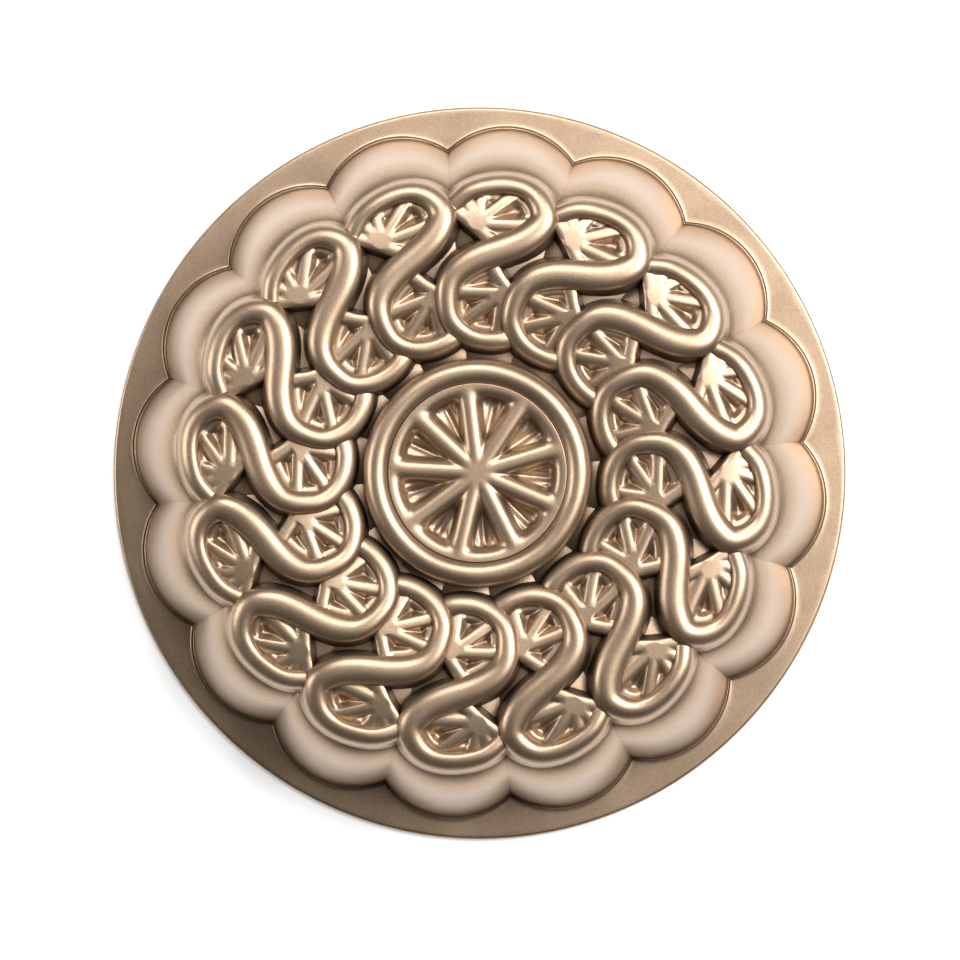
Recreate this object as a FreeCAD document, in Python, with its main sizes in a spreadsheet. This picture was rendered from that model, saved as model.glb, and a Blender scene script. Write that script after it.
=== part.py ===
import FreeCAD, Part
import Sketcher
import math
import os

# Cast ring-cake pan, standing crown up on its rim as it rests on a shelf.
# Millimetres.  +Z points up through the crown, the rim face is z = 0 and the
# Z axis runs through the middle of the centre tube.

V = FreeCAD.Vector
UP = V(0, 0, 1)

doc = FreeCAD.newDocument("BundtPan")

# ---------------------------------------------------------------- sizes
sheet = doc.addObject("Spreadsheet::Sheet", "Sizes")
SIZES = (
    ("flute_count", 16, "flutes round the pan, one ribbon and two slices on each"),
    ("wall_thick", 3.2, "thickness of the casting"),
    ("flange_radius", 128.5, "outer radius of the flat rim flange"),
    ("flange_thick", 3.2, "thickness of the rim flange"),
    ("flange_round", 1.2, "rounding of the flange's outer edges"),
    ("flute_arc", 28.5, "radius of each scallop at the foot of the wall"),
    ("flute_centre", 92.4, "distance of each scallop's centre from the axis"),
    ("rib_height", 8.0, "height of the peel ribbons above the crown"),
    ("rib_draft", 1.2, "how much wider each side of a ribbon is at its foot"),
    ("groove_wall", 2.2, "thickness of a ribbon's sides, hollow inside the pan"),
    ("groove_least", 2.0, "least width of the hollow inside a ribbon"),
    ("slice_thick", 5.0, "thickness of the slices where they are hollow beneath"),
    ("slice_height", 6.0, "height of the citrus slices above the crown"),
    ("ring_outer", 38.2, "outer radius of the ring round the wheel"),
    ("ring_inner", 29.6, "inner radius of the ring round the wheel"),
    ("ring_foot", 56.8, "height of the underside of the ring"),
    ("ring_top", 71.0, "height of the top of the ring"),
    ("wheel_foot", 58.6, "height of the underside of the wheel"),
    ("wheel_top", 69.4, "height of the top of the spokes"),
    ("well_depth", 7.4, "depth of the wells between the spokes"),
    ("well_radius", 26.2, "radius of the outer edge of the wells"),
    ("spoke_width", 6.4, "width of the spokes"),
    ("spoke_count", 9, "spokes in the wheel"),
    ("tube_tip_radius", 26.0, "outer radius of the centre tube at its tip"),
    ("tube_tip", 6.0, "height of the tube's tip above the rim face"),
)
for row, (alias, value, note) in enumerate(SIZES, 1):
    sheet.set("A%d" % row, note)
    sheet.set("B%d" % row, str(value))
    sheet.setAlias("B%d" % row, alias)
doc.recompute()


def size(alias):
    return float(sheet.get(alias))


FLUTES = int(size("flute_count"))
HALF = math.pi / FLUTES
WALL = size("wall_thick")
RING = size("ring_outer")


# ---------------------------------------------------------------- helpers
def origin_plane(body, role):
    for feature in body.Origin.OriginFeatures:
        if feature.Role == role:
            return feature


def body_sketch(body, name, role):
    sketch = body.newObject("Sketcher::SketchObject", name)
    sketch.AttachmentSupport = (origin_plane(body, role), [""])
    sketch.MapMode = "FlatFace"
    return sketch


def turned(shape, count):
    """The shape repeated round the Z axis, the first one as it is."""
    copies = []
    for k in range(count):
        copy = shape.copy()
        copy.rotate(V(0, 0, 0), UP, 360.0 * k / count)
        copies.append(copy)
    return copies


def beside(shape, steps):
    """The shape moved round to the flute that many places anticlockwise."""
    copy = shape.copy()
    copy.rotate(V(0, 0, 0), UP, steps * 360.0 / FLUTES)
    return copy


def feature(name, shape):
    """A document object holding a shape built from the sheet's sizes."""
    part = doc.addObject("Part::Feature", name)
    part.Shape = shape
    part.Placement = FreeCAD.Placement()
    part.Label = name
    return part


# ---------------------------------------------------------------- the flutes
# Radius and height of a flute down its middle and down the crease beside it,
# from the foot of the wall over the shoulder and the crest to the centre ring.
MIDDLE = (
    (120.9, 3.2), (118.7, 13.0), (116.4, 23.0), (114.0, 33.0), (111.4, 43.0),
    (109.4, 49.2), (106.4, 55.6), (102.0, 60.2), (96.0, 62.6), (88.0, 63.2),
    (79.0, 63.2), (70.0, 63.0), (60.0, 62.9), (50.0, 62.3), (43.0, 61.6), (RING, 61.0),
)
CREASE = (
    (112.7, 3.2), (111.1, 13.0), (109.3, 23.0), (107.4, 33.0), (105.3, 42.0),
    (103.5, 48.0), (100.6, 54.0), (96.4, 58.2), (91.0, 60.2), (84.5, 61.0),
    (77.0, 61.3), (69.0, 61.3), (60.0, 61.3), (50.0, 60.9), (43.0, 60.4), (RING, 60.0),
)
# Radius and height of the round the ribbons and slices stand above.
DOME = (
    (111.0, 51.5), (106.0, 56.0), (101.5, 58.6), (94.0, 61.0), (84.0, 62.6),
    (73.0, 63.0), (62.0, 62.4), (52.5, 61.0), (45.0, 59.4), (RING, 57.6),
)
SHOULDER = 4
ACROSS = 9


def scallop(arc, angle):
    """Distance from the axis to a scallop of that radius, at an angle off its middle."""
    centre = size("flute_centre")
    return centre * math.cos(angle) + math.sqrt(arc ** 2 - (centre * math.sin(angle)) ** 2)


def bulge(angle):
    """0 on the crease and 1 down the middle: the round of the scallop."""
    arc = size("flute_arc")
    crease = scallop(arc, HALF)
    return (scallop(arc, angle) - crease) / (scallop(arc, 0.0) - crease)


def inward(line, thick):
    """The line moved square to itself, towards the inside of the pan."""
    moved = []
    for i, (radius, height) in enumerate(line):
        before = line[max(i - 1, 0)]
        after = line[min(i + 1, len(line) - 1)]
        along = V(after[0] - before[0], 0, after[1] - before[1]).normalize()
        moved.append((radius + along.z * -thick, height + along.x * thick))
    moved[0] = (line[0][0] - thick, line[0][1])
    moved[-1] = (line[-1][0], line[-1][1] - thick)
    return moved


def flute_grid(middle, crease):
    """Points over one flute: along its length, then across it."""
    grid = []
    for (mid_r, mid_z), (cre_r, cre_z) in zip(middle, crease):
        row = []
        for j in range(ACROSS):
            angle = HALF * (2.0 * j / (ACROSS - 1) - 1.0)
            share = bulge(angle)
            radius = cre_r + (mid_r - cre_r) * share
            height = cre_z + (mid_z - cre_z) * share
            row.append(V(radius * math.cos(angle), radius * math.sin(angle), height))
        grid.append(row)
    return grid


def edge_curves(surface):
    first_u, last_u, first_v, last_v = surface.bounds()
    curves = (
        surface.vIso(first_v), surface.vIso(last_v),
        surface.uIso(first_u), surface.uIso(last_u),
    )
    return [curve.toShape() for curve in curves]


def slab(outer, inner):
    """The solid between two surfaces whose borders face each other."""
    top = Part.BSplineSurface()
    top.interpolate(outer)
    under = Part.BSplineSurface()
    under.interpolate(inner)
    faces = [top.toShape(), under.toShape()]
    for one, other in zip(edge_curves(top), edge_curves(under)):
        faces.append(Part.makeRuledSurface(one, other))
    shell = Part.makeShell(faces)
    shell.sewShape()
    solid = Part.makeSolid(Part.Shell(shell.Faces))
    if solid.Volume < 0:
        solid.reverse()
    return solid


inner_middle = inward(MIDDLE, WALL)
inner_crease = inward(CREASE, WALL)
inner_crease[0] = (scallop(size("flute_arc") - WALL, HALF), CREASE[0][1])
outside = flute_grid(MIDDLE, CREASE)
inside = flute_grid(inner_middle, inner_crease)
wall_flute = slab(outside[:SHOULDER + 1], inside[:SHOULDER + 1])
crown_flute = slab(outside[SHOULDER:], inside[SHOULDER:])

# Everything under the crown's outer surface, for trimming what stands on it.
CORE_FOOT = 40.0
core_floor = [[V(p.x, p.y, CORE_FOOT) for p in row] for row in outside[SHOULDER:]]
core = slab(outside[SHOULDER:], core_floor)
cores = [beside(core, steps) for steps in (-1, 0, 1)]


# ---------------------------------------------------------------- the ribbons
# One ribbon of peel as places along its middle: sideways (clockwise round the
# pan), out from the axis, its width, and how far its top dips.  It starts
# under the ribbon on its left, turns back at the rim and ends under the
# ribbon on its right.
RIBBON = (
    (-18.6, 86.9, 6.4, 2.0), (-12.4, 93.6, 6.6, 0.8), (-5.8, 96.6, 7.2, 0.2), (0.8, 97.6, 7.4, 0.0),
    (8.1, 95.9, 8.0, 0.0), (12.4, 91.7, 8.8, 0.0), (13.8, 86.8, 9.4, 0.0), (11.6, 82.5, 10.0, 0.0),
    (6.3, 78.0, 10.4, 0.0), (0.0, 74.8, 10.4, 0.0), (-6.1, 72.0, 10.2, 0.0), (-11.4, 68.4, 9.8, 0.0),
    (-14.7, 64.4, 9.0, 0.0), (-15.9, 60.2, 8.2, 0.0), (-15.7, 55.6, 7.4, 0.0), (-14.2, 50.6, 7.0, 0.0),
    (-10.8, 46.9, 7.0, 0.0), (-6.0, 44.5, 7.2, 0.0), (0.0, 43.9, 7.4, 0.3), (4.8, 45.1, 7.2, 1.0),
    (8.8, 47.8, 6.8, 2.4),
)
BEND = 9
RIB_DEPTH = 15.0
GROOVE_DEPTH = 16.0


def on_flute(sideways, outward, height):
    """A point of the first flute, which points along +X."""
    return V(outward, -sideways, height)


crown_line = Part.BSplineCurve()
crown_line.interpolate([V(radius, 0, height) for radius, height in DOME])


def crown_height(radius):
    """Height of the round beneath the ribbons and slices."""
    low = crown_line.FirstParameter
    high = crown_line.LastParameter
    for step in range(40):
        half_way = (low + high) / 2.0
        if crown_line.value(half_way).x > radius:
            low = half_way
        else:
            high = half_way
    return crown_line.value(low).z


def ribbon_sections(drop, thinner, depth):
    """Round-topped outlines square to the ribbon, one at each place along it:
    how far below the ribbon's top, how much narrower each side, how deep."""
    middle = Part.BSplineCurve()
    middle.interpolate([on_flute(x, y, 0) for x, y, width, dip in RIBBON])
    wires = []
    for x, y, width, dip in RIBBON:
        at = on_flute(x, y, 0)
        along = middle.tangent(middle.parameter(at))[0]
        side = along.cross(UP)
        top = crown_height(math.hypot(x, y)) + size("rib_height") - dip - drop
        half_top = max(width / 2.0 - size("rib_draft") - thinner, size("groove_least") / 2.0)
        half_foot = half_top + size("rib_draft") * depth / size("rib_height")
        spring = top - 0.55 * half_top
        left_foot = at - side * half_foot + UP * (top - depth)
        right_foot = at + side * half_foot + UP * (top - depth)
        left_top = at - side * half_top + UP * spring
        right_top = at + side * half_top + UP * spring
        edges = (
            Part.makeLine(left_foot, left_top),
            Part.Arc(left_top, at + UP * top, right_top).toShape(),
            Part.makeLine(right_top, right_foot),
            Part.makeLine(right_foot, left_foot),
        )
        wires.append(Part.Wire(edges))
    return wires


sections = ribbon_sections(0.0, 0.0, RIB_DEPTH)
whole_ribbon = Part.makeLoft(sections, True, False)
upper_part = Part.makeLoft(sections[:BEND + 1], True, False)
lower_part = Part.makeLoft(sections[BEND:], True, False)
groove = Part.makeLoft(ribbon_sections(WALL, size("groove_wall"), GROOVE_DEPTH), True, False)
ribbon = whole_ribbon.cut([beside(upper_part, 1), beside(lower_part, -1), groove] + cores)


# ---------------------------------------------------------------- the slices
# Straight cut edges of the two slices, then their seed pits as place, width
# and depth.
OUTER_CUT = ((-5.3, 74.8), (-18.6, 85.5))
INNER_CUT = ((8.8, 59.8), (-1.2, 73.7))
OUTER_PITS = (
    (5.0, 87.4, 4.2, 3.2), (-4.0, 89.4, 3.0, 2.6), (-10.6, 87.2, 2.6, 2.4), (-1.6, 81.3, 2.2, 2.0),
)
INNER_PITS = ((-4.0, 62.6, 3.6, 3.2), (-7.4, 54.8, 4.2, 3.2), (-2.6, 50.8, 3.8, 3.2))


def raised_crown(lift):
    """The dome, lifted that much, solid beneath."""
    line = Part.BSplineCurve()
    line.interpolate([V(radius, 0, height + lift) for radius, height in DOME])
    start = line.StartPoint
    end = line.EndPoint
    corners = [start, V(start.x, 0, CORE_FOOT), V(end.x, 0, CORE_FOOT), end]
    edges = [line.toShape()]
    for one, other in zip(corners, corners[1:]):
        edges.append(Part.makeLine(one, other))
    return Part.Face(Part.Wire(edges)).revolve(V(0, 0, 0), UP, 360)


def loop_prism(places, cut):
    """Upright prism over one loop of the ribbon, up to a straight cut edge."""
    loop = Part.BSplineCurve()
    loop.interpolate([on_flute(x, y, CORE_FOOT) for x, y, width, dip in places])
    corners = [loop.EndPoint] + [on_flute(x, y, CORE_FOOT) for x, y in cut] + [loop.StartPoint]
    edges = [loop.toShape()]
    for one, other in zip(corners, corners[1:]):
        edges.append(Part.makeLine(one, other))
    return Part.Face(Part.Wire(edges)).extrude(UP * 50)


def moved_in(cut, distance):
    """A cut edge moved towards the loop it closes."""
    (start_x, start_y), (end_x, end_y) = cut
    length = math.hypot(end_x - start_x, end_y - start_y)
    side_x = (end_y - start_y) / length * distance
    side_y = (start_x - end_x) / length * distance
    return ((start_x + side_x, start_y + side_y), (end_x + side_x, end_y + side_y))


def slice_and_hollow(places, cut, beside_ribbon, pits):
    """The slice filling one loop of the ribbon and the hollow beneath it."""
    ribbons = [whole_ribbon, beside_ribbon]
    body = loop_prism(places, cut).common(slice_top).cut(ribbons + cores)
    hollow = loop_prism(places, moved_in(cut, WALL)).common(hollow_top).cut(ribbons)
    body = body.cut(hollow)
    for x, y, width, depth in pits:
        top = crown_height(math.hypot(x, y)) + size("slice_height")
        pit = Part.makeCone(0.2 * width, 0.6 * width, depth + 1.0, on_flute(x, y, top - depth))
        body = body.cut(pit)
    return max(body.Solids, key=lambda solid: solid.Volume), hollow


slice_top = raised_crown(size("slice_height"))
hollow_top = raised_crown(size("slice_height") - size("slice_thick"))
outer_slice, outer_hollow = slice_and_hollow(
    RIBBON[:BEND + 1], OUTER_CUT, beside(whole_ribbon, 1), OUTER_PITS)
inner_slice, inner_hollow = slice_and_hollow(
    RIBBON[BEND:], INNER_CUT, beside(whole_ribbon, -1), INNER_PITS)
hollows = []
for steps in (-1, 0, 1):
    hollows += [beside(shape, steps) for shape in (groove, outer_hollow, inner_hollow)]
crown_flute = crown_flute.cut(hollows)

feature("wall_flutes", Part.makeCompound(turned(wall_flute, FLUTES)))
feature("crown_flutes", Part.makeCompound(turned(crown_flute, FLUTES)))
feature("peel_ribbons", Part.makeCompound(turned(ribbon, FLUTES)))
feature("outer_slices", Part.makeCompound(turned(outer_slice, FLUTES)))
feature("inner_slices", Part.makeCompound(turned(inner_slice, FLUTES)))


# ---------------------------------------------------------------- sketch help
def draw(sketch, *shapes):
    """Adds lines and arcs to a sketch and gives their numbers."""
    return [sketch.addGeometry(shape, False) for shape in shapes]


def relate(sketch, *details):
    return sketch.addConstraint(Sketcher.Constraint(*details))


def drive(sketch, formula, *details):
    """A sketch dimension taken from the sheet."""
    number = relate(sketch, *details)
    sketch.setExpression("Constraints[%d]" % number, formula)


def round_topped_sketch(body, inner, outer, flat):
    """A bar seen end on, round on top: inner and outer radius and the height
    of its flat foot."""
    sketch = body_sketch(body, body.Name + "_profile", "XZ_Plane")
    reach_in = size(inner)
    reach_out = size(outer)
    level = size(flat)
    middle = (reach_in + reach_out) / 2.0
    radius = (reach_out - reach_in) / 2.0
    centre_z = size("ring_top") - radius
    turn = Part.Circle(V(middle, centre_z, 0), UP, radius)
    flat_line, outer_line, inner_line, cap = draw(
        sketch,
        Part.LineSegment(V(reach_in, level, 0), V(reach_out, level, 0)),
        Part.LineSegment(V(reach_out, level, 0), V(reach_out, centre_z, 0)),
        Part.LineSegment(V(reach_in, centre_z, 0), V(reach_in, level, 0)),
        Part.ArcOfCircle(turn, 0.0, math.pi),
    )
    relate(sketch, "Coincident", flat_line, 2, outer_line, 1)
    relate(sketch, "Coincident", inner_line, 2, flat_line, 1)
    relate(sketch, "Tangent", outer_line, 2, cap, 1)
    relate(sketch, "Tangent", cap, 2, inner_line, 1)
    relate(sketch, "Horizontal", flat_line)
    relate(sketch, "Vertical", outer_line)
    relate(sketch, "Vertical", inner_line)
    drive(sketch, "Sizes." + inner, "DistanceX", -1, 1, flat_line, 1, reach_in)
    drive(sketch, "Sizes." + outer, "DistanceX", -1, 1, flat_line, 2, reach_out)
    drive(sketch, "Sizes." + flat, "DistanceY", -1, 1, flat_line, 1, level)
    drive(sketch, "Sizes.ring_top - (Sizes.ring_outer - Sizes.ring_inner) / 2",
          "DistanceY", -1, 1, cap, 3, centre_z)
    return sketch


def revolve(body, sketch):
    turned_body = body.newObject("PartDesign::Revolution", body.Name + "_round")
    turned_body.Profile = sketch
    turned_body.ReferenceAxis = (sketch, ["V_Axis"])
    turned_body.Angle = 360
    return turned_body


def repeat(body, feature_to_repeat, sketch, formula):
    pattern = body.newObject("PartDesign::PolarPattern", body.Name + "_pattern")
    pattern.Originals = [feature_to_repeat]
    pattern.Axis = (sketch, ["N_Axis"])
    pattern.Angle = 360
    pattern.setExpression("Occurrences", formula)
    body.Tip = pattern
    return pattern


# ---------------------------------------------------------------- centre ring
ring = doc.addObject("PartDesign::Body", "centre_ring")
ring.Label = "centre_ring"
revolve(ring, round_topped_sketch(ring, "ring_inner", "ring_outer", "ring_foot"))

# ---------------------------------------------------------------- centre tube
# Four corners of the tube's wall: it narrows towards its open tip.
tube = doc.addObject("PartDesign::Body", "centre_tube")
tube.Label = "centre_tube"
tube_sketch = body_sketch(tube, "tube_profile", "XZ_Plane")
foot_z = size("ring_foot")
tip_z = size("tube_tip")
tip_r = size("tube_tip_radius")
outer_foot = V(RING, foot_z, 0)
outer_tip = V(tip_r, tip_z, 0)
inner_tip = V(tip_r - WALL, tip_z, 0)
inner_foot = V(RING - WALL, foot_z, 0)
lines = draw(
    tube_sketch,
    Part.LineSegment(outer_foot, outer_tip),
    Part.LineSegment(outer_tip, inner_tip),
    Part.LineSegment(inner_tip, inner_foot),
    Part.LineSegment(inner_foot, outer_foot),
)
for one, other in zip(lines, lines[1:] + lines[:1]):
    relate(tube_sketch, "Coincident", one, 2, other, 1)
relate(tube_sketch, "Horizontal", lines[1])
relate(tube_sketch, "Horizontal", lines[3])
drive(tube_sketch, "Sizes.ring_outer", "DistanceX", -1, 1, lines[0], 1, RING)
drive(tube_sketch, "Sizes.ring_foot", "DistanceY", -1, 1, lines[0], 1, foot_z)
drive(tube_sketch, "Sizes.tube_tip_radius", "DistanceX", -1, 1, lines[1], 1, tip_r)
drive(tube_sketch, "Sizes.tube_tip", "DistanceY", -1, 1, lines[1], 1, tip_z)
drive(tube_sketch, "Sizes.wall_thick", "DistanceX", lines[1], 2, lines[1], 1, WALL)
drive(tube_sketch, "Sizes.wall_thick", "DistanceX", lines[3], 1, lines[3], 2, WALL)
revolve(tube, tube_sketch)

# ---------------------------------------------------------------- citrus wheel
wheel = doc.addObject("PartDesign::Body", "citrus_wheel")
wheel.Label = "citrus_wheel"
disc_sketch = body_sketch(wheel, "wheel_disc", "XY_Plane")
disc_sketch.AttachmentOffset = FreeCAD.Placement(V(0, 0, size("wheel_foot")), FreeCAD.Rotation())
disc_sketch.setExpression("AttachmentOffset.Base.z", "Sizes.wheel_foot")
edge, = draw(disc_sketch, Part.Circle(V(0, 0, 0), UP, size("ring_inner")))
relate(disc_sketch, "Coincident", edge, 3, -1, 1)
drive(disc_sketch, "Sizes.ring_inner", "Radius", edge, size("ring_inner"))
disc = wheel.newObject("PartDesign::Pad", "wheel_blank")
disc.Profile = disc_sketch
disc.setExpression("Length", "Sizes.wheel_top - Sizes.wheel_foot")

# One well lies between two spokes: two sides along the spokes and an arc.
share = 2 * math.pi / size("spoke_count")
beside_spoke = size("spoke_width") / 2.0
reach = size("well_radius")
tip_out = beside_spoke / math.tan(share / 2.0)
lean = math.asin(beside_spoke / reach)
well_sketch = body_sketch(wheel, "wheel_well", "XY_Plane")
well_sketch.AttachmentOffset = FreeCAD.Placement(V(0, 0, size("wheel_top")), FreeCAD.Rotation())
well_sketch.setExpression("AttachmentOffset.Base.z", "Sizes.wheel_top")
tip = V(tip_out, beside_spoke, 0)
low_corner = V(reach * math.cos(lean), beside_spoke, 0)
high_corner = V(reach * math.cos(share - lean), reach * math.sin(share - lean), 0)
low_side, rim_side, high_side = draw(
    well_sketch,
    Part.LineSegment(tip, low_corner),
    Part.ArcOfCircle(Part.Circle(V(0, 0, 0), UP, reach), lean, share - lean),
    Part.LineSegment(high_corner, tip),
)
relate(well_sketch, "Coincident", rim_side, 3, -1, 1)
relate(well_sketch, "Coincident", low_side, 2, rim_side, 1)
relate(well_sketch, "Coincident", rim_side, 2, high_side, 1)
relate(well_sketch, "Coincident", high_side, 2, low_side, 1)
relate(well_sketch, "Horizontal", low_side)
drive(well_sketch, "Sizes.well_radius", "Radius", rim_side, reach)
drive(well_sketch, "Sizes.spoke_width / 2", "DistanceY", -1, 1, low_side, 1, beside_spoke)
drive(well_sketch, "Sizes.spoke_width / 2", "Distance", -1, 1, high_side, beside_spoke)
drive(well_sketch, "360 deg / Sizes.spoke_count", "Angle", low_side, 1, high_side, 2, share)
well = wheel.newObject("PartDesign::Pocket", "well")
well.Profile = well_sketch
well.setExpression("Length", "Sizes.well_depth")
well.TaperAngle = -8
repeat(wheel, well, well_sketch, "Sizes.spoke_count")

# ---------------------------------------------------------------- rim flange
flange = doc.addObject("PartDesign::Body", "rim_flange")
flange.Label = "rim_flange"
plate_sketch = body_sketch(flange, "flange_outline", "XY_Plane")
outer_edge, inner_edge = draw(
    plate_sketch,
    Part.Circle(V(0, 0, 0), UP, size("flange_radius")),
    Part.Circle(V(0, 0, 0), UP, size("flute_centre")),
)
relate(plate_sketch, "Coincident", outer_edge, 3, -1, 1)
relate(plate_sketch, "Coincident", inner_edge, 3, -1, 1)
drive(plate_sketch, "Sizes.flange_radius", "Radius", outer_edge, size("flange_radius"))
drive(plate_sketch, "Sizes.flute_centre", "Radius", inner_edge, size("flute_centre"))
plate = flange.newObject("PartDesign::Pad", "flange_plate")
plate.Profile = plate_sketch
plate.setExpression("Length", "Sizes.flange_thick")
doc.recompute()
outer_edges = []
for number, line in enumerate(plate.Shape.Edges, 1):
    if isinstance(line.Curve, Part.Circle) and line.Curve.Radius > size("flute_centre") + 1.0:
        outer_edges.append("Edge%d" % number)
rounded = flange.newObject("PartDesign::Fillet", "flange_rounding")
rounded.Base = (plate, outer_edges)
rounded.setExpression("Radius", "Sizes.flange_round")

# The wall's scallops open the flange: one round pocket for each flute.
mouth_sketch = body_sketch(flange, "flute_mouth", "XY_Plane")
mouth_radius = size("flute_arc") - WALL
mouth, = draw(mouth_sketch, Part.Circle(V(size("flute_centre"), 0, 0), UP, mouth_radius))
relate(mouth_sketch, "PointOnObject", mouth, 3, -1)
drive(mouth_sketch, "Sizes.flute_centre", "DistanceX", -1, 1, mouth, 3, size("flute_centre"))
drive(mouth_sketch, "Sizes.flute_arc - Sizes.wall_thick", "Radius", mouth, mouth_radius)
opening = flange.newObject("PartDesign::Pocket", "flute_opening")
opening.Profile = mouth_sketch
opening.Reversed = True
opening.Type = "ThroughAll"
repeat(flange, opening, mouth_sketch, "Sizes.flute_count")

doc.recompute()

# ---------------------------------------------------------------- check, write
NODES = (
    "rim_flange", "wall_flutes", "crown_flutes", "peel_ribbons", "outer_slices",
    "inner_slices", "centre_ring", "citrus_wheel", "centre_tube",
)
for item in doc.Objects:
    if "Invalid" in item.State or "Error" in item.State:
        raise SystemExit("%s did not rebuild" % item.Name)
os.makedirs("parts", exist_ok=True)
for name in NODES:
    shape = doc.getObject(name).Shape
    if shape.isNull() or not shape.isValid():
        raise SystemExit("%s has no sound shape" % name)
    shape.exportStep("parts/%s.step" % name)
    print(name, len(shape.Solids), "solids", round(shape.Volume / 1000.0, 1), "cm3")
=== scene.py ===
# Looks of the cast ring-cake pan: bronze-coated aluminium, crown up on a white
# table, seen from straight above.  The shapes are worked out in millimetres in
# the CAD model's own frame, and mesh_object brings them to metres.
import math
import bpy
import numpy as np
from mathutils import Matrix, Vector


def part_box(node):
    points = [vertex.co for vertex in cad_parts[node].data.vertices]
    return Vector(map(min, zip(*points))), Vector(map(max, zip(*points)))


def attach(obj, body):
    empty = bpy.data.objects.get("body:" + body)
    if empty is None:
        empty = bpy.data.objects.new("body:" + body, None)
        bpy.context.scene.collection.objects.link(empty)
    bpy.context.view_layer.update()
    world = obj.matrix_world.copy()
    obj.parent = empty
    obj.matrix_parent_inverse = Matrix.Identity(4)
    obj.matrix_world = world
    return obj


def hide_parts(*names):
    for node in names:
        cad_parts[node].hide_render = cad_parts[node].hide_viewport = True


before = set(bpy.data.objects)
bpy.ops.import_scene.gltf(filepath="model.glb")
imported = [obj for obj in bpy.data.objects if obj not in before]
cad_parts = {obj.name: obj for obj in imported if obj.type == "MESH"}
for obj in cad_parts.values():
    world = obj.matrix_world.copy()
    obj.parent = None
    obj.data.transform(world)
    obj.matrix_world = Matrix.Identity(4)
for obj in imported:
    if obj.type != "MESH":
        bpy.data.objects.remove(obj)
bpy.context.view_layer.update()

MM = 0.001
FLUTES = 16
PITCH = 2 * math.pi / FLUTES
SPOKES = 9
FAR = 99.0      # more than any gap that is measured

flange_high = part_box("rim_flange")[1]
ring_low, ring_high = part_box("centre_ring")
wheel_low, wheel_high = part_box("citrus_wheel")
tube_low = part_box("centre_tube")[0]
FLANGE_R = flange_high[0] / MM
FLANGE_T = flange_high[2] / MM
RING_R = ring_high[0] / MM
RING_FOOT = ring_low[2] / MM
RING_TOP = ring_high[2] / MM
WHEEL_R = wheel_high[0] / MM
WHEEL_FOOT = wheel_low[2] / MM
WHEEL_TOP = wheel_high[2] / MM
TUBE_TIP = tube_low[2] / MM
WALL = 3.2      # thickness of the casting


# ------------------------------------------------------------ curves, meshes
def spline(points, count):
    """A smooth curve through the points: its places and directions."""
    pts = np.array(points, float)
    gaps = np.linalg.norm(np.diff(pts[:, :2], axis=0), axis=1)
    knots = np.concatenate(([0.0], np.cumsum(gaps)))
    n = len(pts)
    spans = np.diff(knots)
    system = np.zeros((n, n))
    right = np.zeros_like(pts)
    system[0, 0] = system[-1, -1] = 1.0
    for i in range(1, n - 1):
        before, after = spans[i - 1], spans[i]
        system[i, i - 1:i + 2] = before, 2 * (before + after), after
        right[i] = 6 * ((pts[i + 1] - pts[i]) / after - (pts[i] - pts[i - 1]) / before)
    bend = np.linalg.solve(system, right)
    t = np.linspace(0, knots[-1], count)
    k = np.clip(np.searchsorted(knots, t, side="right") - 1, 0, n - 2)
    a = ((knots[k + 1] - t) / spans[k])[:, None]
    b = 1 - a
    span = spans[k][:, None]
    swell = (a ** 3 - a) * bend[k] + (b ** 3 - b) * bend[k + 1]
    lean = -(3 * a * a - 1) * bend[k] + (3 * b * b - 1) * bend[k + 1]
    place = a * pts[k] + b * pts[k + 1] + swell * span ** 2 / 6
    slope = (pts[k + 1] - pts[k]) / span + lean * span / 6
    return place, slope


def smooth_step(low, high, x):
    """0 at low, 1 at high, with an even rise between them."""
    t = np.clip((x - low) / (high - low), 0, 1)
    return t * t * (3 - 2 * t)


def mesh_object(name, verts, faces, sharp=None):
    """A smooth-shaded mesh; edges that run across rows between two sharp vertices stay sharp."""
    mesh = bpy.data.meshes.new(name)
    mesh.from_pydata((np.asarray(verts) * MM).tolist(), [], faces)
    mesh.validate()
    mesh.shade_smooth()
    if sharp is not None:
        pairs = np.empty(len(mesh.edges) * 2, int)
        mesh.edges.foreach_get("vertices", pairs)
        pairs = pairs.reshape(-1, 2)
        first, second = pairs[:, 0], pairs[:, 1]
        flags = sharp[first] & sharp[second] & (np.abs(first - second) > 1)
        layer = mesh.attributes.new("sharp_edge", "BOOLEAN", "EDGE")
        layer.data.foreach_set("value", flags)
    mesh.update()
    obj = bpy.data.objects.new(name, mesh)
    bpy.context.collection.objects.link(obj)
    return obj


def band_faces(rows, cols):
    """Quads of a rows by cols grid of vertices whose last column joins the first."""
    i, j = np.meshgrid(np.arange(rows - 1), np.arange(cols), indexing="ij")
    nxt = (j + 1) % cols
    quads = np.stack([i * cols + j, i * cols + nxt, (i + 1) * cols + nxt, (i + 1) * cols + j], -1)
    return quads.reshape(-1, 4).tolist()


def closing_faces(rows, cols):
    """Quads that join the last row of such a grid to its first."""
    last = (rows - 1) * cols
    return [[last + j, last + (j + 1) % cols, (j + 1) % cols, j] for j in range(cols)]


def turn_about_axis(verts, angle):
    """The vertices turned anticlockwise about the pan's axis."""
    c, s = math.cos(angle), math.sin(angle)
    return verts @ np.array([[c, s, 0], [-s, c, 0], [0, 0, 1]])


def all_round(verts, faces, count):
    """The piece repeated round the axis."""
    many = np.concatenate([turn_about_axis(verts, 2 * math.pi * k / count) for k in range(count)])
    sides = []
    for k in range(count):
        shift = k * len(verts)
        sides += [[v + shift for v in face] for face in faces]
    return many, sides


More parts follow.
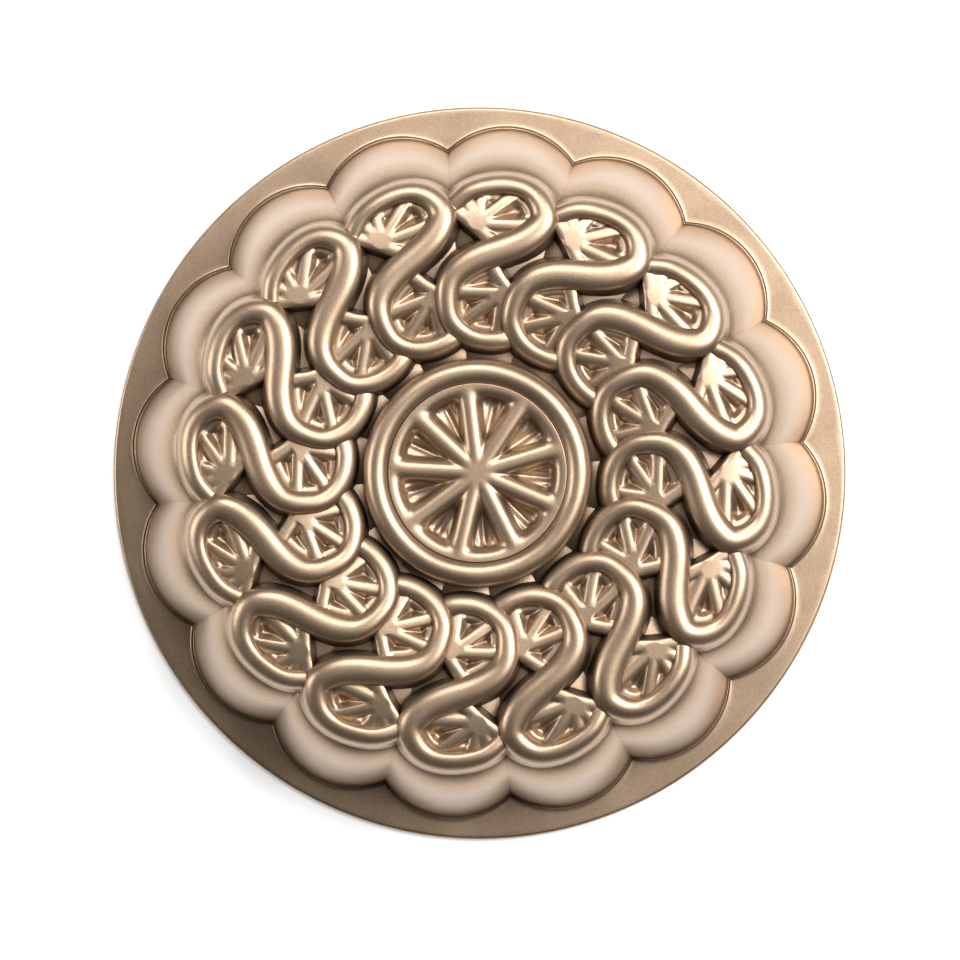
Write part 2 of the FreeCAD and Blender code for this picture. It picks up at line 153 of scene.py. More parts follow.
# ------------------------------------------------------------ flutes and dome
# Radius and height of the outside, down the middle of a flute and down the
# crease between two flutes.
MIDDLE = (
    (120.9, 3.2), (118.7, 13.0), (116.4, 23.0), (114.0, 33.0), (111.4, 43.0),
    (109.4, 49.2), (106.4, 55.6), (102.0, 60.2), (96.0, 62.6), (88.0, 63.2),
    (79.0, 63.2), (70.0, 63.0), (60.0, 62.9), (50.0, 62.3), (43.0, 61.6), (38.2, 61.0),
)
CREASE = (
    (112.7, 3.2), (111.1, 13.0), (109.3, 23.0), (107.4, 33.0), (105.3, 42.0),
    (103.5, 48.0), (100.6, 54.0), (96.4, 58.2), (91.0, 60.2), (84.5, 61.0),
    (77.0, 61.3), (69.0, 61.3), (60.0, 61.3), (50.0, 60.9), (43.0, 60.4), (38.2, 60.0),
)
# The round that the ribbons and slices stand above.
DOME = (
    (111.0, 51.5), (106.0, 56.0), (101.5, 58.6), (94.0, 61.0), (84.0, 62.6),
    (73.0, 63.0), (62.0, 62.4), (52.5, 61.0), (45.0, 59.4), (38.2, 57.6),
)
SCALLOP = 28.5          # radius of one flute's arc in the plan
SCALLOP_OUT = 92.4      # distance of that arc's centre from the axis
LONG = 90               # rows of vertices along a flute
ACROSS = 28             # columns of vertices across a flute

middle_line = spline(MIDDLE, LONG)[0]
crease_line = spline(CREASE, LONG)[0]
dome_line = spline(DOME, LONG)[0]


def bulge(angle):
    """0 on the crease between two flutes, 1 down a flute's middle."""
    def reach(a):
        return SCALLOP_OUT * np.cos(a) + np.sqrt(SCALLOP ** 2 - (SCALLOP_OUT * np.sin(a)) ** 2)
    crease = reach(PITCH / 2)
    return (reach(angle) - crease) / (reach(0.0) - crease)


def dome(radius):
    """Height of the dome at a radius."""
    return np.interp(radius, dome_line[::-1, 0], dome_line[::-1, 1])


def floor_height(x, y):
    """Height of the fluted crown at a place given sideways and outwards."""
    radius = np.hypot(x, y)
    share = bulge((np.arctan2(x, y) + PITCH / 2) % PITCH - PITCH / 2)
    low = np.interp(radius, crease_line[::-1, 0], crease_line[::-1, 1])
    high = np.interp(radius, middle_line[::-1, 0], middle_line[::-1, 1])
    return low + (high - low) * share


def inward(line, thick):
    """The line moved to the casting's other face."""
    along = np.gradient(line, axis=0)
    along /= np.linalg.norm(along, axis=1)[:, None]
    return line + thick * np.stack([-along[:, 1], along[:, 0]], -1)


# ------------------------------------------------------------ ribbon of peel
# Places along one ribbon: sideways (clockwise), outwards, width, and how far
# it dips where it runs under its neighbours.
RIBBON = (
    (-17.6, 88.0, 6.6, 2.6), (-12.4, 93.6, 6.8, 1.0), (-5.8, 96.6, 7.2, 0.2),
    (0.8, 97.6, 7.4, 0.0), (8.1, 95.9, 8.0, 0.0), (12.4, 91.7, 8.8, 0.0),
    (13.8, 86.8, 9.4, 0.0), (11.6, 82.5, 10.0, 0.0), (6.3, 78.0, 10.4, 0.0),
    (0.0, 74.8, 10.4, 0.0), (-6.1, 72.0, 10.2, 0.0), (-11.4, 68.4, 9.8, 0.0),
    (-14.7, 64.4, 9.0, 0.0), (-15.9, 60.2, 8.2, 0.0), (-15.7, 55.6, 7.4, 0.0),
    (-14.2, 50.6, 7.0, 0.0), (-10.8, 46.9, 7.0, 0.0), (-6.0, 44.5, 7.2, 0.0),
    (0.0, 43.9, 7.4, 0.3), (4.8, 45.1, 7.4, 1.0), (8.6, 47.6, 7.4, 2.4),
)
RIB_HEIGHT = 8.0        # height of a ribbon's crest over the dome
RIB_SLOPE = 0.28        # lean of its side faces
RIB_FOOT = 9.4          # how far its feet lie under its crest
RIB_EDGE = 3.5          # most that its round top drops to the side faces
RIB_GAP = 0.1           # seam left at each side
RIB_SINK = 1.2          # how deep its feet reach into the flutes
RIB_COVER = 0.5         # metal left over a neighbour's groove
ribbon_line, ribbon_way = spline(RIBBON, 190)


def rib_profile(half, edge_drop, side_points, foot_drop):
    """Offsets and drops of a round-topped bar, from one foot to the other."""
    angle = np.linspace(-math.pi / 2, math.pi / 2, side_points)
    offset = half * np.sin(angle)
    drop = edge_drop * (1 - np.cos(angle))
    fall = np.linspace(foot_drop, edge_drop, 6)[:-1]
    left = -half - RIB_SLOPE * (fall - edge_drop)
    offset = np.concatenate([left, offset, -left[::-1]])
    drop = np.concatenate([fall, drop, fall[::-1]])
    return offset, drop


def ribbon_rows(thin, lower):
    """Rows across a ribbon, made narrower and lower for its inner face."""
    rows = []
    for (x, y, width, dip), (dx, dy) in zip(ribbon_line, ribbon_way[:, :2]):
        size = math.hypot(dx, dy)
        side = np.array([dy, -dx]) / size
        half = width / 2 - RIB_GAP - thin
        offset, drop = rib_profile(half, min(0.8 * half, RIB_EDGE), 19, RIB_FOOT)
        px = x + side[0] * offset
        py = y + side[1] * offset
        top = dome(np.hypot(px, py)) + RIB_HEIGHT - dip - lower - drop
        least = floor_height(px, py) - RIB_SINK
        rows.append(np.stack([py, -px, np.maximum(top, least)], -1))
    rows = np.array(rows)
    x, y = -rows[:, :, 1], rows[:, :, 0]
    under_neighbour = groove_height(x, y, floor_height(x, y) - WALL, (-1, 1))
    rows[:, :, 2] = np.maximum(rows[:, :, 2], under_neighbour + RIB_COVER)
    return rows


def build_ribbons():
    """Hollow ribbons: an outer and an inner face, joined at the feet and ends."""
    outer = ribbon_rows(0.0, 0.0)
    inner = ribbon_rows(1.0, 1.2)[:, ::-1]
    ring = np.concatenate([outer, inner], 1)
    rows, cols = ring.shape[:2]
    verts = ring.reshape(-1, 3)
    faces = band_faces(rows, cols)
    half = cols // 2
    for end in (0, (rows - 1) * cols):
        for j in range(half - 1):
            quad = [end + j, end + j + 1, end + cols - 2 - j, end + cols - 1 - j]
            faces.append(quad if end == 0 else quad[::-1])
    return all_round(verts, faces, FLUTES)


# ------------------------------------------------------------ citrus slices
# Each slice has a straight cut edge, a hub and ribs that fan out from it as
# round bars; the pits are what the bars and the rim leave open.  "loop" gives
# the stretch of ribbon that the slice lies inside, in twentieths of the
# ribbon's length, and "neighbour" the next ribbon that borders it.
OUTER_SLICE = {
    "cut": ((-14.6, 83.3), (-7.3, 78.3)), "hub": (-9.2, 82.9),
    "ribs": ((-12.6, 90.5), (-7.4, 94.0), (2.2, 93.2), (6.6, 84.2)),
    "loop": (0, 9), "neighbour": -1,
}
INNER_SLICE = {
    "cut": ((0.7, 69.3), (5.0, 64.0)), "hub": (2.4, 60.6),
    "ribs": ((-11.2, 59.6), (-9.2, 50.4), (2.0, 48.8)),
    "loop": (9, 20), "neighbour": 1,
}
SLICE_DROP = 3.5        # how far the bars' crests lie under the ribbons' crests
PIT_DEPTH = 3.5
SLICE_GRID = 0.36       # distance between a slice's vertices
CUT_BAR = 2.2           # how far in from the cut edge its bar's crest lies
CUT_FLAT = 1.6          # half widths of the bars' broad tops
RIB_FLAT = 1.5
RIM_FLAT = 1.2
RIM_START = 0.2         # the rim falls away from here, measured from the ribbon
RIM_DROP = 0.7          # how far the rim's top lies under the bars' crests
RIM_OVERLAP = 1.4       # how far the slice reaches under the ribbon
MELT = 0.3              # rounding where the bars meet
SLICE_SINK = 1.2        # how deep its cut edge reaches into the flutes


def inside_polygon(x, y, corners):
    """Which places lie inside the polygon, by counting the sides to their right."""
    inside = np.zeros(x.shape, bool)
    for (ax, ay), (bx, by) in zip(corners, np.roll(corners, -1, axis=0)):
        crosses = (ay > y) != (by > y)
        with np.errstate(divide="ignore", invalid="ignore"):
            at = ax + (y - ay) / (by - ay) * (bx - ax)
        inside ^= crosses & (x < at)
    return inside


def round_bar(distance, flat):
    """How far a bar with a broad round top has dropped at a distance from its crest."""
    near = np.clip(distance, 0, flat)
    past = np.clip(distance - flat, 0, None)
    return 0.12 * near ** 2 + 1.6 * past ** 2 / (past + 0.5)


def blend(falls, soft):
    """The least of several drops, rounded where they meet."""
    return -soft * np.log(sum(np.exp(-fall / soft) for fall in falls))


def ray_distance(x, y, start, end):
    """Distance from the ray that starts at one place and runs on through another."""
    sx, sy = start
    length = math.hypot(end[0] - sx, end[1] - sy)
    ux, uy = (end[0] - sx) / length, (end[1] - sy) / length
    along = np.clip((x - sx) * ux + (y - sy) * uy, 0, None)
    return np.hypot(x - sx - along * ux, y - sy - along * uy)


def ribbon_gap(x, y, places):
    """Distance from the nearest ribbon's edge: above 0 outside it, below 0 inside."""
    gap = np.full(x.shape, FAR)
    for turn in places:
        c, s = math.cos(turn * PITCH), math.sin(turn * PITCH)
        for px, py, width in ribbon_line[::2, :3]:
            qx, qy = px * c + py * s, py * c - px * s
            gap = np.minimum(gap, np.hypot(x - qx, y - qy) - width / 2)
    return gap


def slice_loop(plan):
    """The stretch of the ribbon's middle line that the slice lies inside."""
    first, last = plan["loop"]
    share = np.linspace(0, 1, len(ribbon_line)) * (len(RIBBON) - 1)
    return ribbon_line[(share >= first) & (share <= last)][:, :2]


def cut_frame(plan):
    """Start, direction along, direction into the slice and length of its cut edge."""
    (ax, ay), (bx, by) = plan["cut"]
    length = math.hypot(bx - ax, by - ay)
    ex, ey = (bx - ax) / length, (by - ay) / length
    fx, fy = -ey, ex
    middle = slice_loop(plan).mean(0)
    if (middle[0] - ax) * fx + (middle[1] - ay) * fy < 0:
        fx, fy = -fx, -fy
    return (ax, ay), (ex, ey), (fx, fy), length


def build_slices(plan):
    """A slice as a closed sheet on a grid laid along its cut edge, sixteen times."""
    (ax, ay), (ex, ey), (fx, fy), length = cut_frame(plan)
    bx, by = plan["cut"][1]
    loop = slice_loop(plan)
    a = np.arange(-16, length + 24, SLICE_GRID)
    b = np.concatenate([[-2.3, -1.8, -1.2, -0.6, -0.2], np.arange(0.0, 26, SLICE_GRID)])
    aa, bb = np.meshgrid(a, b, indexing="ij")
    x = ax + aa * ex + bb * fx
    y = ay + aa * ey + bb * fy
    radius = np.hypot(x, y)
    crest = dome(radius) + RIB_HEIGHT - SLICE_DROP
    hub = plan["hub"]
    falls = [round_bar(np.abs(bb - CUT_BAR), CUT_FLAT)]
    for end in plan["ribs"]:
        falls.append(round_bar(ray_distance(x, y, hub, end), RIB_FLAT))
    rim = ribbon_gap(x, y, (0, plan["neighbour"]))
    falls.append(RIM_DROP + round_bar(np.clip(rim - RIM_START, 0, None), RIM_FLAT))
    fall = np.clip(blend(falls, MELT), 0, None)
    floor = PIT_DEPTH - 0.25 * np.exp(-((fall - PIT_DEPTH) / 0.5) ** 2)
    top = crest - np.minimum(fall, floor)
    ground = floor_height(x, y)
    edge = crest - round_bar(np.full_like(bb, CUT_BAR), CUT_FLAT)
    wall = np.clip(-bb / 1.8, 0, 1)
    top = np.where(bb < 0, edge * (1 - wall) + (ground - 0.8) * wall, top)
    under = np.where(bb < 2.4, ground - SLICE_SINK, dome(radius) + 1.0)
    under = np.minimum(under, top - 0.5)
    past_end = (bx + 6 * ex - 3 * fx, by + 6 * ey - 3 * fy)
    past_start = (ax - 6 * ex - 3 * fx, ay - 6 * ey - 3 * fy)
    corners = np.concatenate([loop, [past_end, past_start]])
    keep = inside_polygon(x, y, corners) & (rim > -RIM_OVERLAP)
    cell = keep[:-1, :-1] & keep[1:, :-1] & keep[1:, 1:] & keep[:-1, 1:]
    rows, cols = x.shape
    index = np.arange(rows * cols).reshape(rows, cols)
    quads = np.stack([index[:-1, :-1], index[1:, :-1], index[1:, 1:], index[:-1, 1:]], -1)[cell]
    if ex * fy - ey * fx > 0:
        quads = quads[:, ::-1]
    sheets = [np.stack([y, -x, z], -1).reshape(-1, 3) for z in (top, under)]
    verts = np.concatenate(sheets)
    shift = rows * cols
    faces = quads.tolist() + (quads[:, ::-1] + shift).tolist()
    border = set()
    for quad in quads.tolist():
        for one, other in zip(quad, quad[1:] + quad[:1]):
            if (other, one) in border:
                border.remove((other, one))
            else:
                border.add((one, other))
    faces += [[other, one, one + shift, other + shift] for one, other in sorted(border)]
    used = np.unique(np.array([v for face in faces for v in face]))
    renumber = np.full(len(verts), -1)
    renumber[used] = np.arange(len(used))
    faces = [[int(renumber[v]) for v in face] for face in faces]
    return all_round(verts[used], faces, FLUTES)


# ------------------------------------------------------------ shell
FLANGE_EDGE = 1.2       # radius of the flange's rounded edge
# The moulded line round the wall's foot: distance out from the wall, height
# over the flange.
FOOT_LINE = (
    (1.9, 0.0), (1.6, 0.04), (1.42, 0.12), (1.25, 0.16), (1.1, 0.1), (0.95, -0.08),
    (0.82, -0.22), (0.7, -0.26),
)
FOOT_ROUND = np.linspace(0.2, 1.3, 6)
GROOVE_SIDE = 4.2       # how far in from a ribbon's edge its groove is fully deep
GROOVE_TOP = 4.4        # how far the groove's top lies under the ribbon's crest
RELIEF_COVER = 2.8      # metal left under a slice's pits
RELIEF_FROM = 41        # radii between which the inside follows the crown
RELIEF_TO = 103
WEB_R = 30.0            # radius of the web under the wheel
AXIS_R = 0.3            # the shell's vertices come no nearer the axis
TUBE_TIP_R = 26.0       # outside radius of the centre tube at its tip


def flute_columns():
    """Angles across all flutes, and how far each lies up its flute's bulge."""
    step = np.arange(ACROSS) / ACROSS - 0.5
    angle = (np.arange(FLUTES)[:, None] * PITCH + step[None, :] * PITCH).ravel()
    share = np.tile(bulge(step * PITCH), FLUTES)
    return angle, share


def rim_rows(foot):
    """The flange from its under face round the edge and in to the wall's foot."""
    rows = []
    edge = FLANGE_EDGE
    for a in np.linspace(-math.pi / 2, math.pi / 2, 13):
        z = edge + edge * math.sin(a) if a <= 0 else FLANGE_T - edge + edge * math.sin(a)
        rows.append((np.full_like(foot, FLANGE_R - edge + edge * math.cos(a)), z))
    for t in (0.2, 0.4, 0.6, 0.8, 0.95):
        rows.append(((FLANGE_R - edge) * (1 - t) + (foot + 3.0) * t, FLANGE_T))
    for out, lift in FOOT_LINE:
        rows.append((foot + out, FLANGE_T + lift))
    out, lift = FOOT_LINE[-1]
    for a in FOOT_ROUND:
        rise = 0.9 * (1 - math.cos(a))
        rows.append((foot + out - out * math.sin(a), FLANGE_T + lift + rise))
    return [(r, np.full_like(foot, z)) for r, z in rows]


def groove_height(x, y, plain, places):
    """Height of the crown's inside where it follows the ribbons."""
    share = smooth_step(0.0, -GROOVE_SIDE, ribbon_gap(x, y, places))
    return plain + (dome(np.hypot(x, y)) + RIB_HEIGHT - GROOVE_TOP - plain) * share


def relief(x, y, plain):
    """Height of the crown's inside: it follows the ribbons and the slices."""
    round_top = dome(np.hypot(x, y)) + RIB_HEIGHT
    height = plain.copy()
    for turn in (-1, 0, 1):
        c, s = math.cos(turn * PITCH), math.sin(turn * PITCH)
        qx, qy = x * c - y * s, x * s + y * c
        for plan in (OUTER_SLICE, INNER_SLICE):
            (ax, ay), _, (fx, fy), _ = cut_frame(plan)
            depth = (qx - ax) * fx + (qy - ay) * fy
            share = smooth_step(2.0, 6.5, depth) * inside_polygon(qx, qy, slice_loop(plan))
            raised = round_top - SLICE_DROP - PIT_DEPTH - RELIEF_COVER
            height = np.maximum(height, plain + (raised - plain) * share)
    return np.maximum(height, groove_height(x, y, plain, (-1, 0, 1)))


def fluted_rows(middle, crease, share):
    """Radii and heights all round, between a flute's middle and the crease."""
    return [(cre[0] + (mid[0] - cre[0]) * share, cre[1] + (mid[1] - cre[1]) * share)
            for mid, cre in zip(middle, crease)]


def underside_profile():
    """Round the web under the wheel, the ring's foot and the centre tube."""
    turn_r = RING_R - WALL - 0.3
    profile = [
        (WEB_R, WHEEL_FOOT + 0.5), (AXIS_R, WHEEL_FOOT + 0.5), (AXIS_R, WHEEL_FOOT),
        (20.0, WHEEL_FOOT), (28.4, WHEEL_FOOT), (29.2, WHEEL_FOOT - 0.3),
        (29.5, WHEEL_FOOT - 0.9), (29.9, RING_FOOT + 0.3), (30.7, RING_FOOT),
        (turn_r - 1.6, RING_FOOT - 0.1), (turn_r - 0.6, RING_FOOT - 0.6),
        (turn_r - 0.2, RING_FOOT - 2.0),
    ]
    for a in np.linspace(0, math.pi, 9):
        radius = TUBE_TIP_R - WALL / 2 - WALL / 2 * math.cos(a)
        profile.append((radius, TUBE_TIP + 1.6 - 1.6 * math.sin(a)))
    profile.append((RING_R - 0.9, RING_FOOT - 2.5))
    return profile


def build_shell():
    """Flange, fluted wall and crown, web and centre tube as one closed skin."""
    angle, share = flute_columns()
    foot = crease_line[0, 0] + (middle_line[0, 0] - crease_line[0, 0]) * share
    rows = rim_rows(foot)
    crease_from = len(rows) - len(FOOT_LINE) - len(FOOT_ROUND)
    rows += fluted_rows(middle_line[1:], crease_line[1:], share)
    crease_to = len(rows)
    even = np.ones_like(angle)
    rows += [(even * r, even * z) for r, z in underside_profile()]
    inside_from = len(rows)
    inner_mid = inward(middle_line, WALL)
    inner_cre = inward(crease_line, WALL)
    for r, z in fluted_rows(inner_mid, inner_cre, share)[::-1]:
        rows.append((np.maximum(r, RING_R - 0.4), z))
    inside_to = len(rows)
    foot_in = inner_cre[0, 0] + (inner_mid[0, 0] - inner_cre[0, 0]) * share
    rows += [(foot_in + out, even * z) for out, z in ((0.0, 1.0), (0.3, 0.3), (1.0, 0.0))]
    verts = np.array([np.stack([r * np.cos(angle), r * np.sin(angle), z], -1) for r, z in rows])
    first_flute = verts[inside_from:inside_to, :ACROSS]
    out, left, plain = first_flute[:, :, 0], first_flute[:, :, 1], first_flute[:, :, 2]
    radius = np.hypot(out, left)
    crowned = (radius > RELIEF_FROM) & (radius < RELIEF_TO)
    lifted = np.where(crowned, relief(-left, out, plain), plain)
    verts[inside_from:inside_to, :, 2] = np.tile(lifted, (1, FLUTES))
    count, cols = verts.shape[:2]
    faces = band_faces(count, cols) + closing_faces(count, cols)
    sharp = np.zeros((count, cols), bool)
    sharp[crease_from:crease_to, ::ACROSS] = True
    return verts.reshape(-1, 3), faces, sharp.ravel()


# ------------------------------------------------------------ ring and wheel
RING_INNER = 29.6       # inner radius of the ring's round top
RING_SKIRT = 60.4       # height at which the ring's side meets the crown


def build_ring():
    """The ring: a half-round top on a plain foot."""
    tube = (RING_R - RING_INNER) / 2
    middle = RING_R - tube
    crest = RING_TOP - tube
    profile = [(RING_INNER + 0.2, RING_FOOT + 0.2), (RING_R + 0.4, RING_FOOT + 0.2),
               (RING_R + 0.4, RING_SKIRT), (RING_R, crest)]
    for a in np.linspace(0.05, math.pi - 0.05, 31):
        profile.append((middle + tube * math.cos(a), crest + tube * math.sin(a)))
    profile.append((RING_INNER, crest - 1.0))
    line = np.array(profile)
    turns = np.linspace(0, 2 * math.pi, 288, endpoint=False)
    verts = np.stack([
        line[:, None, 0] * np.cos(turns), line[:, None, 0] * np.sin(turns),
        np.repeat(line[:, 1:], len(turns), 1)], -1)
    rows, cols = verts.shape[:2]
    faces = band_faces(rows, cols) + closing_faces(rows, cols)
    return verts.reshape(-1, 3), [face[::-1] for face in faces]


SPOKE_HALF = 3.2        # half width of a spoke between the wells' outlines
WELL_R = 26.0           # radius of the wells' outer outline
WHEEL_EDGE = WHEEL_R + 0.3
SPOKE_TOP = 0.5         # how far the spokes' crests lie under the wheel's top
PLEAT = 0.4             # height of the pleats in a well's floor
# How far the wheel's surface drops with distance in from a well's outline.
WELL_SIDE = (
    (-3.4, 0.0), (-2.6, 0.05), (-1.8, 0.22), (-1.1, 0.55), (-0.5, 1.05), (0.0, 1.75),
    (0.4, 2.8), (0.8, 3.9), (1.2, 4.6), (1.7, 5.0), (6.0, 5.8),
)


def build_wheel():
    """Hub, round spokes and the wells between them, whose floors are pleated."""
    columns, rows = 84, 120
    step = 2 * math.pi / SPOKES
    local = (np.arange(columns) / columns) * step
    radius = np.concatenate([[0.15], np.linspace(0.6, WHEEL_EDGE, rows - 1)])
    rr, aa = np.meshgrid(radius, local, indexing="ij")
    x, y = rr * np.cos(aa), rr * np.sin(aa)
    low = y - SPOKE_HALF
    high = x * math.sin(step) - y * math.cos(step) - SPOKE_HALF
    sides = np.stack([low, high, WELL_R - rr])
    soft = 0.55 + 0.5 * smooth_step(12, 24, rr)
    gap = -soft * np.log(np.exp(-np.clip(sides, -20, 40) / soft).sum(0))
    side = spline(WELL_SIDE, 200)[0]
    drop = np.interp(gap, side[:, 0], side[:, 1])
    drop = drop * smooth_step(1.5, 7.0, rr)
    turns = (np.arange(SPOKES)[:, None] * step + local[None, :]).ravel()
    everywhere = np.tile(drop, (1, SPOKES))
    open_floor = np.tile(smooth_step(0.5, 1.6, gap), (1, SPOKES))
    pleat = np.cos(turns * 27) + 0.5 * np.cos(turns * 45 + 0.7)
    fold = PLEAT * pleat[None, :] * smooth_step(12, 24, radius)[:, None] * open_floor
    height = WHEEL_TOP - SPOKE_TOP - everywhere + fold
    verts = np.stack([
        radius[:, None] * np.cos(turns), radius[:, None] * np.sin(turns), height], -1)
    cols = verts.shape[1]
    bottom = np.stack([np.cos(turns) * WHEEL_EDGE, np.sin(turns) * WHEEL_EDGE,
                       np.full(cols, WHEEL_FOOT + 0.6)], -1)
    middle = bottom * [0.01, 0.01, 1]
    verts = np.concatenate([verts, bottom[None], middle[None]])
    faces = band_faces(rows + 2, cols)
    faces.append(list(range(cols))[::-1])
    faces.append([(rows + 1) * cols + j for j in range(cols)])
    return verts.reshape(-1, 3), faces


# ------------------------------------------------------------ material
def colour_ramp(tree, low, high):
    """A ramp between two stops, each a position and a colour."""
    ramp = tree.nodes.new("ShaderNodeValToRGB")
    for mark, (position, colour) in zip(ramp.color_ramp.elements, (low, high)):
        mark.position = position
        mark.color = (*colour, 1)
    return ramp


def noise(tree, scale, detail):
    texture = tree.nodes.new("ShaderNodeTexNoise")
    texture.inputs["Scale"].default_value = scale
    texture.inputs["Detail"].default_value = detail
    return texture


def coating(name):
    """Bronze non-stick coating: fine metal flake over a slightly cloudy ground, with painted
    shade that turns the colour deep brown in the hollows and creases."""
    material = bpy.data.materials.new(name)
    material.use_nodes = True
    tree = material.node_tree
    nodes, links = tree.nodes, tree.links
    nodes.clear()
    out = nodes.new("ShaderNodeOutputMaterial")
    shader = nodes.new("ShaderNodeBsdfPrincipled")
    links.new(shader.outputs["BSDF"], out.inputs["Surface"])
    shader.inputs["Metallic"].default_value = 0.9
    shader.inputs["Coat Weight"].default_value = 0.15
    shader.inputs["Coat Roughness"].default_value = 0.3
    place = nodes.new("ShaderNodeTexCoord")
    flake = noise(tree, 2400, 2)
    cloud = noise(tree, 60, 4)
    for texture in (flake, cloud):
        links.new(place.outputs["Object"], texture.inputs["Vector"])
    mix = nodes.new("ShaderNodeMath")
    mix.operation = "MULTIPLY_ADD"
    links.new(flake.outputs["Fac"], mix.inputs[0])
    mix.inputs[1].default_value = 0.75
    quarter = nodes.new("ShaderNodeMath")
    quarter.operation = "MULTIPLY"
    links.new(cloud.outputs["Fac"], quarter.inputs[0])
    quarter.inputs[1].default_value = 0.25
    links.new(quarter.outputs[0], mix.inputs[2])
    ramp = colour_ramp(tree, (0.32, (0.30, 0.206, 0.134)), (0.68, (0.455, 0.33, 0.226)))
    links.new(mix.outputs[0], ramp.inputs["Fac"])
    # Painted shade: ambient occlusion multiplies the base colour down towards deep brown in the
    # hollows and creases.
    shade_occlusion = nodes.new("ShaderNodeAmbientOcclusion")
    shade_occlusion.samples = 6
    shade_occlusion.inputs["Distance"].default_value = 0.012
    painted_shade = colour_ramp(tree, (0.15, (0.10, 0.075, 0.055)), (0.55, (1, 1, 1)))
    links.new(shade_occlusion.outputs["AO"], painted_shade.inputs["Fac"])
    shaded = nodes.new("ShaderNodeMix")
    shaded.data_type = "RGBA"
    shaded.blend_type = "MULTIPLY"
    shaded.inputs["Factor"].default_value = 1
    links.new(ramp.outputs["Color"], shaded.inputs[6])
    links.new(painted_shade.outputs["Color"], shaded.inputs[7])
    links.new(shaded.outputs[2], shader.inputs["Base Color"])
    rough = nodes.new("ShaderNodeMapRange")
    rough.inputs["To Min"].default_value = 0.34
    rough.inputs["To Max"].default_value = 0.44
    links.new(cloud.outputs["Fac"], rough.inputs["Value"])
    links.new(rough.outputs["Result"], shader.inputs["Roughness"])
    bump = nodes.new("ShaderNodeBump")
    bump.inputs["Strength"].default_value = 0.25
    bump.inputs["Distance"].default_value = 0.0001
    links.new(flake.outputs["Fac"], bump.inputs["Height"])
    links.new(bump.outputs["Normal"], shader.inputs["Normal"])
    return material


bronze = coating("bronze_coating")


def add_piece(name, built, *nodes):
    obj = mesh_object(name, *built)
    obj.data.materials.append(bronze)
    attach(obj, "root")
    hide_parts(*nodes)


add_piece("casting_shell", build_shell(),
          "rim_flange", "wall_flutes", "crown_flutes", "centre_tube")
add_piece("peel_ribbons_cast", build_ribbons(), "peel_ribbons")
add_piece("outer_slices_cast", build_slices(OUTER_SLICE), "outer_slices")
add_piece("inner_slices_cast", build_slices(INNER_SLICE), "inner_slices")
add_piece("centre_ring_cast", build_ring(), "centre_ring")
add_piece("citrus_wheel_cast", build_wheel(), "citrus_wheel")

# ------------------------------------------------------------ table and light
SCENE_TURN = math.radians(16.8)     # how far the pan is turned in the picture
TABLE_SIZE = 8
TABLE_BELOW = 0.0004                # keeps the table clear of the flange's face
CAMERA_HEIGHT = 1.4                 # metres, like all from here on
CAMERA_SENSOR = 36
PICTURE_WIDTH = 0.3366              # what the picture spans at the flange's top


def from_picture(x, y, z):
    """A place given along the picture's right and up, in the pan's frame."""
    c, s = math.cos(-SCENE_TURN), math.sin(-SCENE_TURN)
    return (x * c - y * s, x * s + y * c, z)


bpy.ops.mesh.primitive_plane_add(size=TABLE_SIZE, location=(0, 0, -TABLE_BELOW))
table = bpy.context.object
table.name = "table"
paper = bpy.data.materials.new("white_table")
paper.use_nodes = True
tree = paper.node_tree
plain = tree.nodes["Principled BSDF"]
plain.inputs["Roughness"].default_value = 0.9
plain.inputs["Emission Color"].default_value = (1, 1, 1, 1)
plain.inputs["Emission Strength"].default_value = 0.2
grain = noise(tree, 40, 2)
tint = colour_ramp(tree, (0.0, (0.93, 0.93, 0.93)), (1.0, (0.95, 0.95, 0.95)))
tree.links.new(grain.outputs["Fac"], tint.inputs["Fac"])
tree.links.new(tint.outputs["Color"], plain.inputs["Base Color"])
table.data.materials.append(paper)

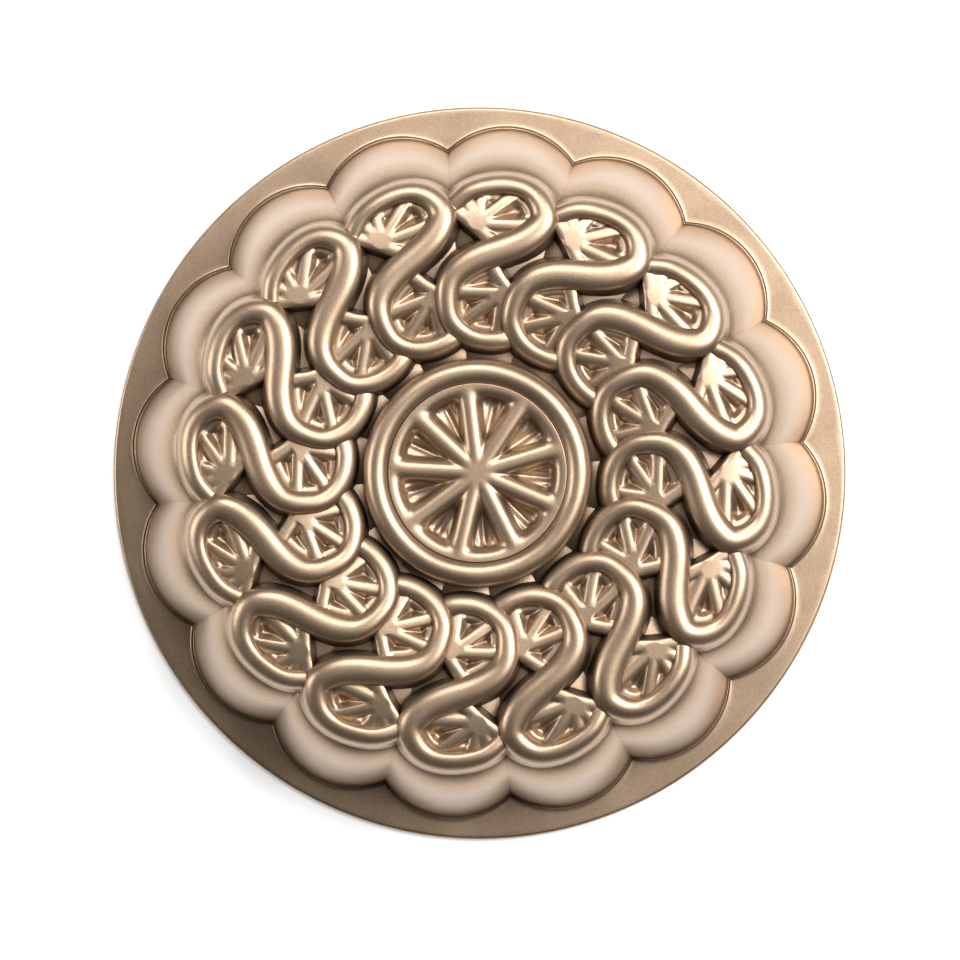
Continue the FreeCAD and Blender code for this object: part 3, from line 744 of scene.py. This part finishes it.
# Light from all round, brightest overhead and a little to the right.
world = bpy.data.worlds.new("studio")
bpy.context.scene.world = world
world.use_nodes = True
sky = world.node_tree
place = sky.nodes.new("ShaderNodeTexCoord")
across = sky.nodes.new("ShaderNodeVectorMath")
across.operation = "DOT_PRODUCT"
across.inputs[1].default_value = from_picture(0.41, 0.11, 0.906)
shade = sky.nodes.new("ShaderNodeValToRGB")
sky.links.new(place.outputs["Generated"], across.inputs[0])
sky.links.new(across.outputs["Value"], shade.inputs["Fac"])
sky.links.new(shade.outputs["Color"], sky.nodes["Background"].inputs["Color"])
steps = shade.color_ramp.elements
steps[0].position = 0.0
steps[0].color = (0.02, 0.019, 0.018, 1)
steps[1].position = 1.0
steps[1].color = (0.62, 0.60, 0.58, 1)
for level, grey in ((0.7, 0.03), (0.82, 0.07), (0.906, 0.27), (0.966, 0.56)):
    mark = steps.new(level)
    mark.color = (grey, grey * 0.98, grey * 0.95, 1)
sky.nodes["Background"].inputs["Strength"].default_value = 1.0


def area_light(name, place, size, power):
    """A square light aimed at the middle of the rim face."""
    data = bpy.data.lights.new(name, "AREA")
    data.size = size
    data.energy = power
    lamp = bpy.data.objects.new(name, data)
    bpy.context.collection.objects.link(lamp)
    lamp.location = place
    way = -Vector(place)
    lamp.rotation_euler = way.to_track_quat("-Z", "Y").to_euler()


area_light("key", from_picture(0.98, 0.36, 1.38), 1.0, 41)
area_light("back", from_picture(-0.1, 1.0, 1.3), 0.7, 17)
area_light("side", from_picture(-1.3, 0.1, 0.75), 0.6, 9)

camera_data = bpy.data.cameras.new("camera")
camera = bpy.data.objects.new("camera", camera_data)
bpy.context.collection.objects.link(camera)
bpy.context.scene.camera = camera
camera_data.sensor_width = CAMERA_SENSOR
camera_data.lens = CAMERA_SENSOR * (CAMERA_HEIGHT - FLANGE_T * MM) / PICTURE_WIDTH
camera.location = from_picture(0.0145, -0.0024, CAMERA_HEIGHT)
aim = Vector(from_picture(0.0002, -0.0024, 0)) - camera.location
up = Vector(from_picture(0, 1, 0))
back = -aim.normalized()
right = up.cross(back).normalized()
above = back.cross(right)
camera.rotation_euler = Matrix((right, above, back)).transposed().to_euler()

bpy.context.scene.view_settings.view_transform = "Standard"
